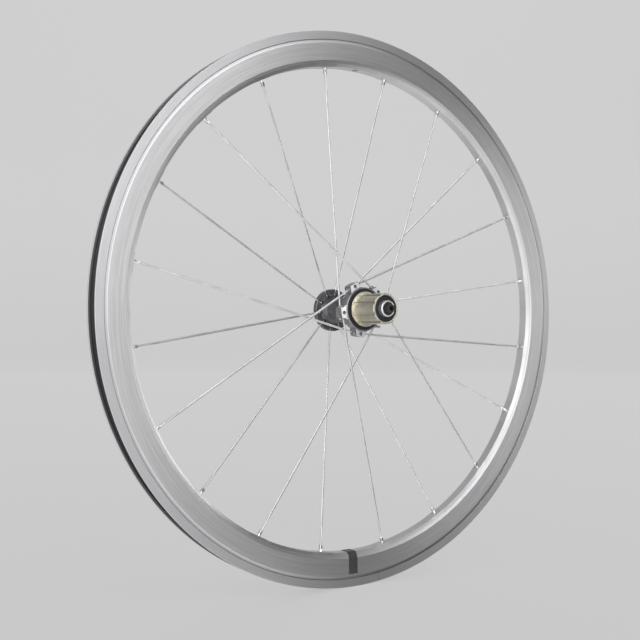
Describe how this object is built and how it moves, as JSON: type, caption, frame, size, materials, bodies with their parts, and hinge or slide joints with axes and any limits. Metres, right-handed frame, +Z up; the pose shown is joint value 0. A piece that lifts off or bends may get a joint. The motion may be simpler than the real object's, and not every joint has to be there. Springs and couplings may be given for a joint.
{
  "type": "bicycle rear wheel",
  "caption": "Rear wheel of a road bicycle: aluminium clincher rim, bladed straight-pull spokes and a hub with a splined cassette body and a hollow axle.",
  "frame": {"origin": "centre of the wheel: on the axle, midway across the rim", "axes": "+X forward, +Y along the axle to the non-drive side, +Z up"},
  "size_m": [0.6329, 0.141, 0.633],
  "materials": {
    "rim_alloy": "brushed, clear anodised",
    "label_film": "matte film",
    "tape_nylon": "matte",
    "spoke_steel": "satin",
    "nipple_brass": "nickel plated brass",
    "hub_alloy": "satin with machined faces",
    "ratchet_steel": "hardened, oiled",
    "bearing_steel": "ground",
    "seal_rubber": "matte",
    "cassette_alloy": "satin, champagne tint",
    "spring_steel": "drawn wire",
    "axle_alloy": "black anodised, satin",
    "spacer_alloy": "satin",
    "nut_alloy": "turned, bright"
  },
  "bodies": {
    "axle": {"axle": "axle_alloy", "spacer_middle": "spacer_alloy", "spacer_freehub": "spacer_alloy", "spacer_nondrive": "axle_alloy", "locknut_drive": "nut_alloy", "locknut_nondrive": "nut_alloy", "hub_bearing_drive_inner": "bearing_steel", "hub_bearing_nondrive_inner": "bearing_steel", "freehub_bearing_inboard_inner": "bearing_steel", "freehub_bearing_outboard_inner": "bearing_steel"},
    "wheel": {"rim": "rim_alloy", "rim_label": "label_film", "rim_tape": "tape_nylon", "spoke_drive_01": "spoke_steel", "spoke_drive_02": "spoke_steel", "spoke_drive_03": "spoke_steel", "spoke_drive_04": "spoke_steel", "spoke_drive_05": "spoke_steel", "spoke_drive_06": "spoke_steel", "spoke_drive_07": "spoke_steel", "spoke_drive_08": "spoke_steel", "spoke_drive_09": "spoke_steel", "spoke_drive_10": "spoke_steel", "spoke_nondrive_01": "spoke_steel", "spoke_nondrive_02": "spoke_steel", "spoke_nondrive_03": "spoke_steel", "spoke_nondrive_04": "spoke_steel", "spoke_nondrive_05": "spoke_steel", "spoke_nondrive_06": "spoke_steel", "spoke_nondrive_07": "spoke_steel", "spoke_nondrive_08": "spoke_steel", "spoke_nondrive_09": "spoke_steel", "spoke_nondrive_10": "spoke_steel", "nipples_drive": "nipple_brass", "nipples_nondrive": "nipple_brass", "hub_shell": "hub_alloy", "ratchet_ring": "ratchet_steel", "hub_bearing_drive_outer": "bearing_steel", "hub_bearing_drive_seals": "seal_rubber", "hub_bearing_nondrive_outer": "bearing_steel", "hub_bearing_nondrive_seals": "seal_rubber", "freehub_seal": "seal_rubber", "nondrive_dust_seal": "seal_rubber"},
    "freehub": {"freehub_body": "cassette_alloy", "freehub_dust_cap": "seal_rubber", "freehub_bearing_inboard_outer": "bearing_steel", "freehub_bearing_inboard_seals": "seal_rubber", "freehub_bearing_outboard_outer": "bearing_steel", "freehub_bearing_outboard_seals": "seal_rubber", "pawl_spring": "spring_steel"},
    "pawl_a": {"pawl_1": "ratchet_steel"},
    "pawl_b": {"pawl_2": "ratchet_steel"},
    "pawl_c": {"pawl_3": "ratchet_steel"},
    "hub_drive_cage": {"hub_bearing_drive_balls": "bearing_steel"},
    "hub_nondrive_cage": {"hub_bearing_nondrive_balls": "bearing_steel"},
    "freehub_inboard_cage": {"freehub_bearing_inboard_balls": "bearing_steel"},
    "freehub_outboard_cage": {"freehub_bearing_outboard_balls": "bearing_steel"}
  },
  "joints": [
    {"name": "wheel_spin", "type": "hinge", "parent": "axle", "child": "wheel", "pos_m": [0, 0, 0], "axis": [0, 1, 0], "continuous": true},
    {"name": "freehub_spin", "type": "hinge", "parent": "axle", "child": "freehub", "pos_m": [0, -0.04, 0], "axis": [0, 1, 0], "continuous": true},
    {"name": "pawl_a_lift", "type": "hinge", "parent": "freehub", "child": "pawl_a", "pos_m": [0, -0.0148, 0.0143], "axis": [0, -1, 0], "range_deg": [0, 22], "stiffness_Nm_per_rad": 0.02, "springref_deg": 40.11},
    {"name": "pawl_b_lift", "type": "hinge", "parent": "freehub", "child": "pawl_b", "pos_m": [-0.01238, -0.0148, -0.00715], "axis": [0, -1, 0], "range_deg": [0, 22], "stiffness_Nm_per_rad": 0.02, "springref_deg": 40.11},
    {"name": "pawl_c_lift", "type": "hinge", "parent": "freehub", "child": "pawl_c", "pos_m": [0.01238, -0.0148, -0.00715], "axis": [0, -1, 0], "range_deg": [0, 22], "stiffness_Nm_per_rad": 0.02, "springref_deg": 40.11},
    {"name": "hub_drive_cage_spin", "type": "hinge", "parent": "axle", "child": "hub_drive_cage", "pos_m": [0, -0.004, 0], "axis": [0, 1, 0], "continuous": true},
    {"name": "hub_nondrive_cage_spin", "type": "hinge", "parent": "axle", "child": "hub_nondrive_cage", "pos_m": [0, 0.0455, 0], "axis": [0, 1, 0], "continuous": true},
    {"name": "freehub_inboard_cage_spin", "type": "hinge", "parent": "axle", "child": "freehub_inboard_cage", "pos_m": [0, -0.0255, 0], "axis": [0, 1, 0], "continuous": true},
    {"name": "freehub_outboard_cage_spin", "type": "hinge", "parent": "axle", "child": "freehub_outboard_cage", "pos_m": [0, -0.053, 0], "axis": [0, 1, 0], "continuous": true}
  ],
  "couplings": [
    {"joint": "hub_drive_cage_spin", "follows": "wheel_spin", "ratio": 0.5794},
    {"joint": "hub_nondrive_cage_spin", "follows": "wheel_spin", "ratio": 0.5794},
    {"joint": "freehub_inboard_cage_spin", "follows": "freehub_spin", "ratio": 0.5794},
    {"joint": "freehub_outboard_cage_spin", "follows": "freehub_spin", "ratio": 0.5794}
  ]
}
